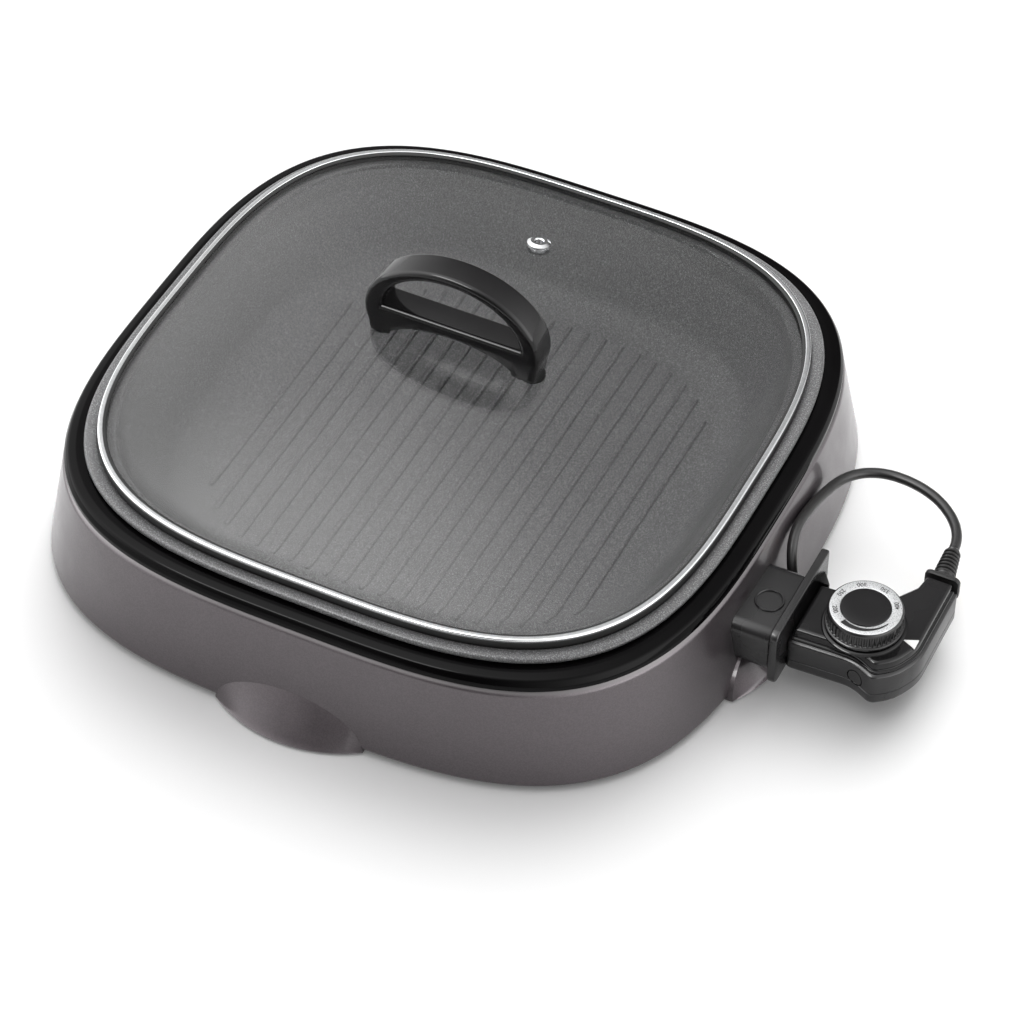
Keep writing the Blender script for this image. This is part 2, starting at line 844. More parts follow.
@dataclass
class Studio:
    """Pale floor, soft light from behind, above and both sides, white surround, and the camera."""

    eye: Point3 = (0.57716, -1.11003, 1.27802)
    aim: Point3 = (0.04530, -0.03471, 0.03346)
    lens_mm: float = 130.17
    sensor_mm: float = 36.0
    floor_half: float = 6.0
    floor_z: float = -0.0002
    floor_paper: str = "efefef"
    floor_lift: float = 0.08
    room_power: float = 0.06
    strip_aim: Point3 = (0.0, 0.0, 0.05)
    soft_lights: tuple[SoftLight, ...] = (
        SoftLight((-0.20, 0.74, 0.64), 8.0, 0.0, 6.5),
        SoftLight((-0.30, -0.12, 0.94), 7.0, 3.6, 0.0),
        SoftLight((-0.10, 0.00, 0.99), 3.0, 0.0, 0.85),
        SoftLight((0.36, 0.45, 0.82), 8.0, 0.6, 0.0),
        SoftLight((-0.93, -0.10, 0.20), 3.0, 3.6, 0.35),
        SoftLight((0.93, -0.12, 0.18), 3.0, 4.2, 0.35))
    strips: tuple[StripLight, ...] = (
        StripLight("front_strip", (-0.48, -0.80, 1.35), (0.9, 0.34), 12.0),)

    @staticmethod
    def face(obj: bpy.types.Object, place: Point3, aim: Point3) -> None:
        """Stands an object at a place and turns it to face a point.

        Args:
            obj: a camera or a lamp.
            place: where it stands, in metres.
            aim: the point that it faces.
        """
        obj.location = place
        way = Vector(aim) - Vector(place)
        obj.rotation_euler = way.to_track_quat("-Z", "Y").to_euler()

    def camera(self) -> None:
        """Makes the camera and makes it the scene's own."""
        data = bpy.data.cameras.new("camera")
        data.lens, data.sensor_width, data.sensor_fit = self.lens_mm, self.sensor_mm, "HORIZONTAL"
        data.clip_end = 30.0
        obj = placed("camera", data)
        self.face(obj, self.eye, self.aim)
        bpy.context.scene.camera = obj

    def floor(self) -> None:
        """A wide floor that shows white and keeps the skillet's shadow."""
        h, z = self.floor_half, self.floor_z
        data = bpy.data.meshes.new("floor")
        data.from_pydata([(-h, -h, z), (h, -h, z), (h, h, z), (-h, h, z)], [], [(0, 1, 2, 3)])
        obj = placed("floor", data)
        material = bpy.data.materials.new("floor_paper")
        material.use_nodes = True
        tree = material.node_tree
        tree.nodes.clear()
        path = add(tree, "ShaderNodeLightPath").outputs
        paper = add(tree, "ShaderNodeBsdfDiffuse", {"Color": linear(self.floor_paper)})
        shown = add(tree, "ShaderNodeMath", {".operation": "MAXIMUM"},
                    {0: path["Is Camera Ray"], 1: path["Is Glossy Ray"]})
        shown = add(tree, "ShaderNodeMath", {".operation": "MAXIMUM"},
                    {0: shown.outputs[0], 1: path["Is Transmission Ray"]})
        lift = add(tree, "ShaderNodeEmission", {"Color": (*(self.floor_lift,) * 3, 1)},
                   {"Strength": shown.outputs[0]})
        both = add(tree, "ShaderNodeAddShader", links={0: paper.outputs[0], 1: lift.outputs[0]})
        add(tree, "ShaderNodeOutputMaterial", links={0: both.outputs[0]})
        data.materials.append(material)

    def surround(self) -> None:
        """A dim room with the soft lights in it.

        Seen directly or through clear glass, it is white.
        """
        world = bpy.data.worlds.new("studio")
        bpy.context.scene.world = world
        world.use_nodes = True
        tree = world.node_tree
        tree.nodes.clear()
        way = add(tree, "ShaderNodeTexCoord").outputs["Generated"]
        path = add(tree, "ShaderNodeLightPath").outputs
        so_far: dict[int, Any] = {}
        for lamp in self.soft_lights:
            toward = add(tree, "ShaderNodeVectorMath",
                         {".operation": "DOT_PRODUCT", 1: Vector(lamp.aim).normalized()},
                         {0: way})
            rise = add(tree, "ShaderNodeMath", {".operation": "MAXIMUM", 1: 0.0},
                       {0: toward.outputs["Value"]})
            soft = add(tree, "ShaderNodeMath", {".operation": "POWER", 1: lamp.focus},
                       {0: rise.outputs[0]})
            power = add(tree, "ShaderNodeMath",
                        {".operation": "MULTIPLY_ADD", 1: lamp.shine - lamp.fill, 2: lamp.fill},
                        {0: path["Is Glossy Ray"]})
            light = add(tree, "ShaderNodeMath",
                        {".operation": "MULTIPLY_ADD", 2: self.room_power},
                        {0: soft.outputs[0], 1: power.outputs[0], **so_far})
            so_far = {2: light.outputs[0]}
        room = add(tree, "ShaderNodeBackground", {"Color": linear(WHITE)},
                   {"Strength": so_far[2]})
        white = add(tree, "ShaderNodeBackground", {"Color": linear(WHITE), "Strength": 1.0})
        clear = add(tree, "ShaderNodeMath", {".operation": "GREATER_THAN"},
                    {0: path["Is Transmission Ray"], 1: path["Diffuse Depth"]})
        shown = add(tree, "ShaderNodeMath", {".operation": "MAXIMUM"},
                    {0: path["Is Camera Ray"], 1: clear.outputs[0]})
        mix = add(tree, "ShaderNodeMixShader",
                  links={0: shown.outputs[0], 1: room.outputs[0], 2: white.outputs[0]})
        add(tree, "ShaderNodeOutputWorld", links={0: mix.outputs[0]})

    def strip(self, lamp: StripLight) -> None:
        """Hangs one strip light, turned toward the skillet.

        Args:
            lamp: the strip light.
        """
        data = bpy.data.lights.new(lamp.name, "AREA")
        data.shape, data.energy = "RECTANGLE", lamp.power
        data.size, data.size_y = lamp.size
        obj = placed(lamp.name, data)
        self.face(obj, lamp.place, self.strip_aim)
        obj.visible_diffuse = obj.visible_transmission = False

    def build(self) -> None:
        """Sets up the floor, the surround and the strip lights."""
        bpy.context.scene.view_settings.view_transform = "Standard"
        self.floor()
        self.surround()
        for lamp in self.strips:
            self.strip(lamp)


# ---- cord, its coil and its plug --------------------------------------------------------------


@dataclass
class SupplyCord:
    """Two-core vinyl cord: strain relief, free run, tied coil under the control, and plug."""

    shop: Workshop
    # in mm and degrees; a face is a width, a height and its corners' radius
    across: float = 5.0
    coil_at: Point2 = (215.0, -8.0)
    coil_r: float = 25.0
    coil_angles: Point3 = (231.0, 1062.0, 15.0)
    tie_angle: float = 104.0
    tie_arc: float = 14.0
    tie_gap: float = 0.06
    tie_out: float = 0.75
    boot_at: Point3 = (241.5, 13.0, 32.0)
    boot_turn: float = 7.0
    boot_rings: int = 7
    boot_pitch: float = 2.4
    flange: Point3 = (17.0, 13.0, 3.0)
    plug_at: Point3 = (234.75, 17.0, 8.0)
    plug_face: Point3 = (11.0, 16.0, 3.4)
    neck_rings: int = 4
    neck_pitch: float = 2.0
    # the free run's centreline, from the strain relief round to the coil
    run: tuple[Point3, ...] = (
        (238.82, 34.84, 32), (237.8, 41, 32), (235.5, 46.9, 32), (231.9, 52.3, 32),
        (227.1, 57.2, 32), (221.4, 61.4, 32), (214.8, 64.8, 31.8), (207.6, 67.1, 31.6),
        (200.1, 68.2, 31.4), (192.7, 67.9, 31.3), (185.9, 65.7, 31.4), (180.2, 61.6, 31.8),
        (176.2, 55.9, 32.6), (173.8, 49.4, 33.8), (172.6, 42.4, 35.4), (171.8, 35.2, 37.2),
        (171.3, 28, 39), (171.1, 20.8, 40.5), (171, 13.8, 41.5), (171.3, 7.2, 41.5),
        (172.3, 1.2, 39.6), (174, -3.8, 35.8), (176.2, -7.6, 30.6), (178.5, -10, 24.6),
        (180.3, -11.7, 18.4), (182.2, -13.9, 12.4), (184.6, -17, 7.6), (187.9, -21, 4.4),
        (191.6, -24.8, 2.8))
    # its last points, from the coil into the plug
    tail: tuple[Point3, ...] = (
        (239.2, -3.2, 7.4), (237.4, 2.6, 7.9), (235.7, 7.6, 8.0), (234.75, 12.4, 8.0))

    def coil_points(self) -> list[Point3]:
        """The coil's centreline: outer turn, inner turn, then part of a turn nested on top.

        Returns:
            Its points, in mm.
        """
        cx, cy = self.coil_at
        d, r = self.across, self.coil_r
        outer, inner = r + d / 2, r - d / 2
        low, top = d / 2, d / 2 + d * math.sqrt(3) / 2
        angles, radii, heights = zip(
            (231.0, outer, low), (535.0, outer, low), (585.0, inner, low), (885.0, inner, low),
            (935.0, r, top), (1075.0, r, top))
        out: list[Point3] = []
        for angle in np.arange(*self.coil_angles):
            reach, a = float(np.interp(angle, angles, radii)), math.radians(angle)
            out.append((cx + reach * math.cos(a), cy + reach * math.sin(a),
                        float(np.interp(angle, angles, heights))))
        return out

    def line(self) -> list[Point3]:
        """The whole centreline, from the strain relief into the plug."""
        return [*self.run, *self.coil_points(), *self.tail]

    def cord(self) -> bpy.types.Object:
        """Draws the cord as one smooth curve.

        Returns:
            Its object.
        """
        data = bpy.data.curves.new("supply_cord", "CURVE")
        data.dimensions, data.resolution_u = "3D", 6
        data.bevel_depth, data.bevel_resolution = self.across * MM / 2, 6
        spline = data.splines.new("BEZIER")
        points = self.line()
        spline.bezier_points.add(len(points) - 1)
        for knot, place in zip(spline.bezier_points, points):
            knot.co = [c * MM for c in place]
            knot.handle_left_type = knot.handle_right_type = "AUTO"
        data.use_fill_caps = True
        return self.shop.piece("supply_cord", data, Slot.CORD_VINYL, Body.CONTROL,
                               ("cord", "cord_coil"))

    def boot(self) -> None:
        """Moulded strain relief: a flange and a tapered, ringed sleeve."""
        x, y, z = self.boot_at
        shape = Shape().lofted(rounded_box(*self.flange),
                               [(0.5, 0), (0, 0.5), (0, 1.9), (0.7, 2.6)],
                               Matrix.Translation((x, y + 0.02, z - 1.5)) @ ALONG_Y)
        sleeve: list[Point2] = [(4.6, 1.0), (4.6, 3.6)]
        for i in range(self.boot_rings):
            start, r = 4.0 + self.boot_pitch * i, 5.3 - 0.21 * i
            sleeve += [(r - 0.4, start), (r, start + 0.35), (r, start + 1.15),
                       (r - 0.4, start + 1.5), (r - 1.2, start + 1.65), (r - 1.3, start + 2.2)]
        sleeve += [(3.2, 21.2), (2.7, 22.0)]
        shape.turned(sleeve, Matrix.Translation((x, y, z)) @ turn_about("Z", self.boot_turn)
                     @ ALONG_Y, count=64)
        self.shop.piece("strain_relief_boot", shape, Slot.CORD_VINYL, Body.CONTROL,
                        ("strain_relief",))

    def bundle(self, grow: float) -> list[Point2]:
        """The outline of the coil's three turns, open at the table.

        Args:
            grow: how far outside the turns it runs, in mm.

        Returns:
            Its points: distance from the coil's middle, and height.
        """
        d, r = self.across, self.coil_r
        top, corner = d * (1 + math.sqrt(3) / 2) + grow, d + grow * 0.6
        return eased([(r - d - grow, 0.0), (r - d - grow, corner), (r - d / 2 - grow, top),
                      (r + d / 2 + grow, top), (r + d + grow, corner), (r + d + grow, 0.0)],
                     1.6, 5, closed=False)

    def tie(self) -> bpy.types.Object:
        """Lays a flat strap round the three turns.

        Returns:
            Its object.
        """
        loop = self.bundle(self.tie_out) + self.bundle(self.tie_gap)[::-1]
        cx, cy = self.coil_at
        rings = [np.array([(cx + p * math.cos(a), cy + p * math.sin(a), q) for p, q in loop])
                 for a in np.radians(self.tie_angle + np.linspace(0, self.tie_arc, 13))]
        return self.shop.piece("cord_strap", Shape().stack(rings), Slot.BLACK_PLASTIC,
                               Body.CONTROL, ("cord_tie",))

    def plug(self) -> bpy.types.Object:
        """Makes the two-blade plug's body, with a waist to grip and a ringed neck.

        Returns:
            Its object.
        """
        place = Matrix.Translation(self.plug_at) @ ALONG_Y
        shape = Shape().lofted(
            rounded_box(*self.plug_face),
            [(1.6, 0.0), (0.7, 0.5), (0.3, 1.4), (0.5, 2.6), (1.0, 4.6), (1.1, 7.0), (0.8, 9.2),
             (0.3, 11.6), (0.3, 12.0), (0.05, 12.2), (0.05, 13.9), (0.5, 14.38)], place)
        neck: list[Point2] = [(2.8, -8.5), (3.1, -8.2)]
        for i in range(self.neck_rings):
            start, r = -7.6 + self.neck_pitch * i, 3.3 + 0.2 * i
            neck += [(r, start), (r, start + 1.1), (r - 0.5, start + 1.3), (r - 0.5, start + 1.8)]
        shape.turned(neck + [(4.2, 0.6)], place, count=48)
        return self.shop.piece("plug_shell", shape, Slot.CORD_VINYL, Body.CONTROL,
                               ("plug_body",), 28.0)

    def build(self) -> None:
        """Builds the cord and declares its length."""
        cord, plug = self.cord(), self.plug()
        self.boot()
        strap = self.tie()


# ---- base -------------------------------------------------------------------------------------


@dataclass
class HeatedBase:
    """Flared skirt with bulged feet, glossy collar, and the housing that the control plugs into."""

    shop: Workshop
    # the skirt: half width and height at its foot, its shoulder and its top, in mm
    half: float = 175.0
    lift: float = 2.8
    shoulder: Point2 = (166.4, 52.4)
    shoulder_top: float = 55.0
    wall: float = 2.8
    lip_wide: float = 3.9
    # the collar, whose lip stands out over the skirt's top
    collar_half: float = 163.8
    collar_top: float = 61.5
    collar_lip: float = 1.9
    collar_in: float = 147.6
    # the feet
    bulge_half: float = 38.0
    bulge_out: float = 11.4
    bulge_high: float = 20.0
    bulge_lift: float = 0.8
    control_y: float = -32.0
    # the socket: its face is its width, its height and its corners' radius
    socket_y: float = -36.5
    socket_z: float = 27.5
    socket_from: float = 157.0
    socket_end: float = 186.4
    socket_face: Point3 = (45.0, 25.0, 6.0)
    socket_wall: float = 2.2
    socket_gap: float = 0.1
    opening_x: Point2 = (150.0, 192.0)
    ring_at: Point2 = (177.7, -38.5)
    ring_r: float = 7.0
    ring_z: float = 39.4
    stand_face: Point3 = (10.0, 38.0, 1.0)
    stand_x: float = 159.0
    stand_top: float = 16.0

    def bulge(self, side: float, turn: float, along: float) -> bpy.types.Mesh:
        """One bulged foot: an arc at its sole, a low arch where it meets the skirt.

        Args:
            side: half width of the side that it stands on.
            turn: degrees about Z that the side faces.
            along: its middle's offset along the side.

        Returns:
            Its closed mesh.
        """
        w, out, count = self.bulge_half, self.bulge_out, 81
        radius = (w * w + out * out) / (2 * out)
        slope = (self.half - self.shoulder[0]) / (self.shoulder[1] - self.lift)
        u = -w * 0.998 * np.cos(np.linspace(0, np.pi, count))
        high = self.bulge_high * np.sqrt(1 - (u / w) ** 2)
        sole = np.column_stack([side + np.sqrt(radius ** 2 - u ** 2) - (radius - out), u,
                                np.full(count, self.bulge_lift)])
        arch = np.column_stack([side - (high + self.bulge_lift - self.lift) * slope + 0.05, u,
                                self.bulge_lift + high])
        rows = [sole - [1.2, 0, 0], sole - [0.35, 0, -0.05], sole + [0, 0, 0.4]]
        rows += [sole + (arch - sole) * f for f in np.linspace(0.08, 1.0, 12)]
        rows += [arch - [4.0, 0, 0], np.column_stack([sole[:, 0] * 0 + side - 4.0, u, sole[:, 2]])]
        shape, total = Shape(), len(rows)
        for row in rows:
            shape.points.extend(row.tolist())
        for j in range(total):
            a, b = j * count, ((j + 1) % total) * count
            shape.faces.extend((a + i, a + i + 1, b + i + 1, b + i) for i in range(count - 1))
        shape.faces.append([j * count for j in range(total)])
        shape.faces.append([j * count + count - 1 for j in range(total - 1, -1, -1)])
        made = shape.mesh("bulge")
        made.transform(turn_about("Z", turn) @ Matrix.Translation((0, along * MM, 0)))
        return made

    def socket_place(self) -> Matrix:
        """Where the socket's axis stands."""
        return Matrix.Translation((0, self.socket_y, self.socket_z)) @ ALONG_X

    def socket_cutter(self) -> bpy.types.Mesh:
        """Makes the block that opens the skirt for the socket housing.

        Returns:
            Its closed mesh.
        """
        (wide, high, corner), gap = self.socket_face, self.socket_gap
        flat = rounded_box(wide + 2 * gap, high + 2 * gap, corner + gap)
        levels = [(0.0, x) for x in self.opening_x]
        return Shape().lofted(flat, levels, self.socket_place()).mesh("cutter")

    def skirt(self) -> None:
        """The skirt, hollow, with its feet and the socket's opening."""
        w, lip = self.wall, self.collar_half - self.lip_wide
        sx, sz = self.shoulder
        profile = eased(
            [(self.half - 1.0, self.lift), (self.half - 0.2, self.lift + 0.2),
             (self.half, self.lift + 1.4), (sx, sz), (self.collar_half, self.shoulder_top),
             (lip, self.shoulder_top), (lip, self.shoulder_top - 2), (sx - w, sz - 2.4),
             (self.half - w, self.lift)],
            [0.3, 0.5, 1.0, 3.4, 0.7, 0.3, 0.3, 1.0, 0.3], 7)
        ring = Shape().swept(profile).mesh("skirt_ring")
        deep = self.half - FLATTER
        parts = [cut(ring, self.socket_cutter()),
                 cut(self.bulge(self.half, 0, self.control_y), self.socket_cutter()),
                 self.bulge(self.half, 180, 0), self.bulge(deep, 90, 0),
                 self.bulge(deep, -90, 0)]
        self.shop.piece("skirt_shell", joined("skirt_shell", parts), Slot.TAUPE_SHELL,
                        Body.BASE, ("base_housing",), 24.0)

    def collar(self) -> None:
        """The glossy collar that frames the pan."""
        c, top, low = self.collar_half, self.collar_top, self.shoulder_top
        out, mouth = c + self.collar_lip, self.collar_in
        profile = eased(
            [(out, low + 0.02), (out - 0.1, low + 2.4), (out - 1.6, top - 0.9), (out - 5.3, top),
             (mouth, top), (mouth, top - 2.2), (c - 6.6, top - 2.5), (c - 6.6, low - 5),
             (c - 4.1, low - 5), (c - 4.1, low + 2), (c - 2.6, low + 1.6), (c - 2.6, low + 0.02)],
            [0.35, 2.0, 2.4, 3.0, 0.6, 0.3, 0.5, 0.2, 0.2, 0.2, 0.2, 0.2], 7)
        self.shop.piece("gloss_collar", Shape().swept(profile), Slot.BLACK_COLLAR, Body.BASE,
                        ("base_collar",))

    def socket(self) -> None:
        """Moulded housing open toward the control, with a raised ring on top."""
        start, end, w = self.socket_from, self.socket_end, self.socket_wall
        shape = Shape().lofted(rounded_box(*self.socket_face),
                               [(0.6, start), (0, start + 0.6), (0, end - 0.9),
                                (0.25, end - 0.3), (0.9, end), (w - 0.5, end), (w, end - 0.5),
                                (w, start + w)], self.socket_place())
        r, z = self.ring_r, self.ring_z
        ring = [(r, z), (r, z + 1.1), (r - 0.3, z + 1.4), (r - 0.9, z + 1.4), (r - 1.2, z + 1.1),
                (r - 1.2, z)]
        shape.turned(ring, Matrix.Translation((*self.ring_at, 0)), closed=True, count=64)
        shape.lofted(rounded_box(*self.stand_face), [(0, self.lift), (0, self.stand_top)],
                     Matrix.Translation((self.stand_x, self.socket_y, 0)))
        self.shop.piece("socket_shell", shape, Slot.BLACK_PLASTIC, Body.BASE,
                        ("socket_housing",))

    def build(self) -> None:
        """Builds the base's visible shells."""
        self.skirt()
        self.collar()
        self.socket()


# ---- pan --------------------------------------------------------------------------------------


@dataclass
class CookingPan:
    """Cast pan with a rolled rim, a ledge for the lid, soft-cornered floor and grill ridges."""

    shop: Workshop
    # in mm and degrees; a half is half the width along X, and the wall's curve starts at the floor
    half: float = 157.0
    top: float = 65.5
    bead: float = 3.6
    ledge_half: float = 151.4
    ledge_z: float = 64.3
    side_in: float = 142.4
    wall: float = 3.2
    floor_z: float = 20.0
    floor_half: float = 109.0
    curve: float = 19.0
    curve_end: float = 64.0
    pitch: float = 9.6
    ridge_wide: float = 2.6
    ridge_high: float = 1.5
    ridges: int = 21

    def arc(self, radius: float) -> list[Point2]:
        """Draws the curve between the floor and the side.

        Args:
            radius: its radius; the outer face's is larger by the wall.

        Returns:
            Half width and height pairs.
        """
        return [(self.floor_half + radius * math.cos(math.radians(a)),
                 self.floor_z + self.curve + radius * math.sin(math.radians(a)))
                for a in np.linspace(-90, -90 + self.curve_end, 22)]

    def ridge(self, shape: Shape, x: float) -> None:
        """Adds one ridge along Y with a rounded back and rounded ends.

        Args:
            shape: the pan's shape, which takes it.
            x: where it stands.
        """
        deep, side = self.floor_half - FLATTER, self.ridge_wide / 2
        reach = (abs(x) + side) / self.floor_half
        length = deep * (1 - reach ** SQUARE) ** (1 / SQUARE) - 3
        turn = np.linspace(0, np.pi, 9)
        rings = []
        ends = [(0.0, 0.25), (0.25, 0.62), (0.8, 0.88), (1.8, 1.0)]
        stations = [(-length + a, f) for a, f in ends] + [(length - a, f) for a, f in ends[::-1]]
        for y, f in stations:
            back = np.column_stack([x + side * f ** 0.5 * np.cos(turn), np.full(len(turn), y),
                                    self.floor_z - 0.1 + (self.ridge_high + 0.1) * f
                                    * np.sin(turn) ** 0.7])
            low = np.array([[x - side * f ** 0.5, y, self.floor_z - 0.5],
                            [x + side * f ** 0.5, y, self.floor_z - 0.5]])
            rings.append(np.vstack([back, low]))
        shape.stack(rings)

    def build(self) -> None:
        """Builds the pan."""
        ro, out = self.bead / 2, self.side_in + self.wall
        low = self.top - self.bead
        wall_in = eased([self.arc(self.curve)[-1], (self.side_in - 2.2, self.ledge_z - 9),
                         (self.side_in, self.ledge_z - 1.2), (self.side_in + 1.2, self.ledge_z)],
                        [0, 14, 1.2, 0], 6, closed=False)
        wall_out = eased([self.arc(self.curve + self.wall)[-1], (out - 2.2, self.ledge_z - 9),
                          (out, low - 0.8), (out + 0.8, low)], [0, 14, 0.6, 0], 6, closed=False)
        roll = [(self.half - ro + ro * math.cos(a), low + ro + ro * math.sin(a))
                for a in np.linspace(-math.pi / 2, math.pi / 2, 15)]
        profile = (self.arc(self.curve + self.wall)[:-1] + wall_out + roll
                   + [(self.ledge_half + 0.6, self.top), (self.ledge_half + 0.15, self.top - 0.2),
                      (self.ledge_half, self.top - 0.6), (self.ledge_half, self.ledge_z)]
                   + wall_in[::-1] + self.arc(self.curve)[-2::-1])
        shape = Shape().swept(profile, closed=False)
        for i in range(self.ridges):
            x = (i - (self.ridges - 1) / 2) * self.pitch
            if abs(x) + self.ridge_wide < self.floor_half:
                self.ridge(shape, x)
        self.shop.piece("cast_pan", shape, Slot.SPECKLED_NONSTICK, Body.PAN, ("pan",), 40.0)


# ---- lid --------------------------------------------------------------------------------------


@dataclass
class GlassLid:
    """Domed glass in a rolled steel rim, with a vent and an arched handle."""

    shop: Workshop
    # the rim and its seal, in mm
    half: float = 151.0
    low: float = 64.6
    high: float = 70.8
    inner: float = 145.0
    sheet: float = 0.7
    trim_wide: float = 2.4
    trim_high: float = 1.9
    # the glass
    glass_half: float = 149.7
    glass: float = 3.8
    edge_z: float = 69.6
    flat_from: float = 144.0
    rise: float = 26.5
    # the handle: its hoop, its opening and the bar below
    grip_half: float = 45.0
    grip_wide: float = 16.0
    grip_side: float = 9.5
    grip_top: float = 5.5
    grip_soft: float = 2.5
    arch_top: float = 139.5
    arch_mid: float = 106.1
    arch_from: float = -18.0
    bar_top: float = 108.6
    bar_thick: float = 7.0

    def dome(self, s: float) -> float:
        """Height of the glass's outer face at the share s of the way to its edge."""
        return self.edge_z + self.rise * (1 - s * s)

    def dome_rings(self, drop: float, edge: float = 1.0) -> list[np.ndarray]:
        """Draws the dome from the middle out: round in the middle, squarer outward.

        Args:
            drop: how far below the outer face, in mm.
            edge: the share of the way to the glass's edge at which it ends.

        Returns:
            Its rings.
        """
        return [at_height(outline(self.flat_from, 2.0 + 1.3 * s ** 0.8) * s, self.dome(s) - drop)
                for s in [0.004, 0.03, *np.linspace(0.07, edge, 30)]]

    def pane(self) -> None:
        """The glass: a domed shell with a flat, rounded edge."""
        edge = eased([(self.flat_from, self.edge_z), (self.glass_half, self.edge_z),
                      (self.glass_half, self.edge_z - self.glass),
                      (self.flat_from, self.edge_z - self.glass)], [0, 0.9, 0.9, 0], 5,
                     closed=False)[1:-1]
        rings = (self.dome_rings(0.0) + [at_height(outline(half), z) for half, z in edge]
                 + self.dome_rings(self.glass)[::-1])
        self.shop.piece("dome_glass", Shape().stack(rings), Slot.LID_GLASS, Body.LID,
                        ("lid_glass",), 60.0)

    def rim(self) -> None:
        """Thin rolled steel trim on the outer edge, and the black seal that holds the glass."""
        h, t, w, top = self.half, self.sheet, self.trim_wide, self.high
        roll = top - self.trim_high
        trim = eased([(h - w, top - t), (h - w, top), (h, top), (h, roll), (h - t, roll),
                      (h - t, top - t)], [0.3, 0.34, 1.5, 0.34, 0.3, 0.9], 9)
        self.shop.piece("rolled_rim", Shape().swept(trim), Slot.POLISHED_STEEL, Body.LID,
                        ("lid_rim",), 50.0)
        low, edge, glass = self.low, self.edge_z + 0.05, self.glass_half + 0.05
        under, foot = self.edge_z - self.glass - 0.05, self.inner + 1.8
        seal = eased([(h - 0.05, low), (h - 0.05, roll - 0.05), (h - t - 0.05, roll - 0.05),
                      (h - t - 0.05, top - t - 0.05), (h - w + 0.05, top - t - 0.05),
                      (h - w - 0.05, top - 0.3), (h - w - 0.9, top - 0.45), (h - w - 1.6, edge),
                      (glass, edge), (glass, under), (foot, under), (foot, low)],
                     [0.5, 0.1, 0.1, 0.8, 0.05, 0.1, 0.5, 0.1, 0, 0, 0.3, 0.4], 5)
        self.shop.piece("rim_seal", Shape().swept(seal), Slot.BLACK_RUBBER, Body.LID,
                        ("lid_gasket",))

    def plate(self, loops: Sequence[Sequence[Point2]], deep: float, soft: float
              ) -> bpy.types.Mesh:
        """Makes a flat plate in the XZ plane with holes and rounded edges.

        Args:
            loops: its outline first, then its holes, in mm.
            deep: its full depth along Y.
            soft: radius of its edges.

        Returns:
            Its closed mesh.
        """
        data = bpy.data.curves.new("plate", "CURVE")
        data.dimensions, data.fill_mode = "2D", "BOTH"
        data.extrude, data.bevel_depth = (deep / 2 - soft) * MM, soft * MM
        data.bevel_resolution, data.offset = 5, -soft * MM
        for loop in loops:
            spline = data.splines.new("POLY")
            spline.points.add(len(loop) - 1)
            for point, (x, z) in zip(spline.points, loop):
                point.co = (x * MM, z * MM, 0, 1)
            spline.use_cyclic_u = True
        made = outward(settled(placed("plate", data)), weld=1e-6)
        made.transform(turn_about("X", 90))
        return made

    def handle(self) -> None:
        """Arched handle: broad hoop, finger opening, and a thin bar over the glass."""
        g, ce, za = self.grip_half, self.arch_mid, self.arch_top
        foot = self.dome(g / self.flat_from) - 4
        arcs = [(g * math.cos(a), ce + (za - ce) * math.sin(a))
                for a in np.radians(np.linspace(self.arch_from, 180 - self.arch_from, 121))]
        arcs = [p for p in arcs if p[1] > foot + 8]
        arch = [((g - self.grip_side - 2) * math.cos(a),
                 foot - 1 + (self.bar_top - self.bar_thick - foot + 1) * math.sin(a))
                for a in np.linspace(math.pi, 0, 61)]
        hoop = ([(g - 2.6, foot)] + arcs + [(-(g - 2.6), foot)]
                + [(-(g - self.grip_side - 2), foot)] + arch[1:-1]
                + [(g - self.grip_side - 2, foot)])
        hole_all = [((g - self.grip_side) * math.cos(a),
                     ce + 2 + (za - self.grip_top - ce - 2) * math.sin(a))
                    for a in np.linspace(0, math.pi, 73)]
        hole = ([p for p in hole_all if p[1] > self.bar_top + 0.01]
                + [(-(g - self.grip_side) * 0.999, self.bar_top),
                   ((g - self.grip_side) * 0.999, self.bar_top)])
        made = self.plate([hoop, hole], self.grip_wide, self.grip_soft)
        below = Shape().stack([at_height(outline(self.flat_from) * 0.9, 10.0)]
                              + self.dome_rings(-0.05, 0.9)[::-1]).mesh("below")
        self.shop.piece("arched_handle", cut(made, below), Slot.GLOSS_BLACK, Body.LID,
                        ("lid_handle",), 30.0)

    def build(self) -> None:
        """Builds the lid."""
        self.pane()
        self.rim()
        self.handle()


# ---- heat control -----------------------------------------------------------------------------


